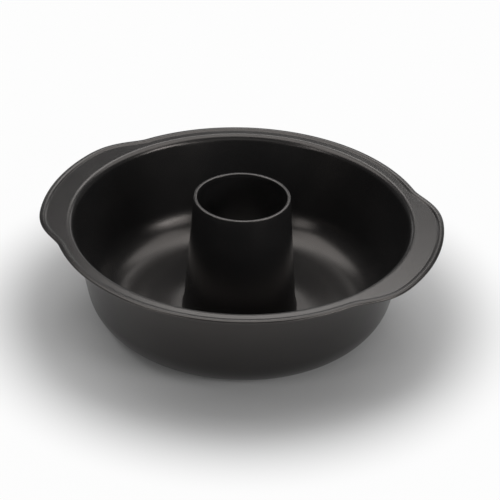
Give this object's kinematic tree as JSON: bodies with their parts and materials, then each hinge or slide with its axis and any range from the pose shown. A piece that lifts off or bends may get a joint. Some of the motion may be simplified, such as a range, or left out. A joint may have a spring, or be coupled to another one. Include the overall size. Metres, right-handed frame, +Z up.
{
  "type": "savarin mould",
  "caption": "Deep round ring mould with a rounded floor corner, tapered wall, flat rim with lug handles and an open tapered centre tube, for baking ring cakes.",
  "frame": {"origin": "on the table, under the middle of the centre tube", "axes": "+Z up along the tube's axis, +X through the middle of the lugs, +Y across the pan"},
  "size_m": [0.3138, 0.291, 0.1024],
  "materials": {
    "nonstick_coat": "black satin non-stick coat on sheet steel"
  },
  "bodies": {
    "root": {"ring_pan": "nonstick_coat", "centre_tube": "nonstick_coat"}
  },
  "joints": []
}
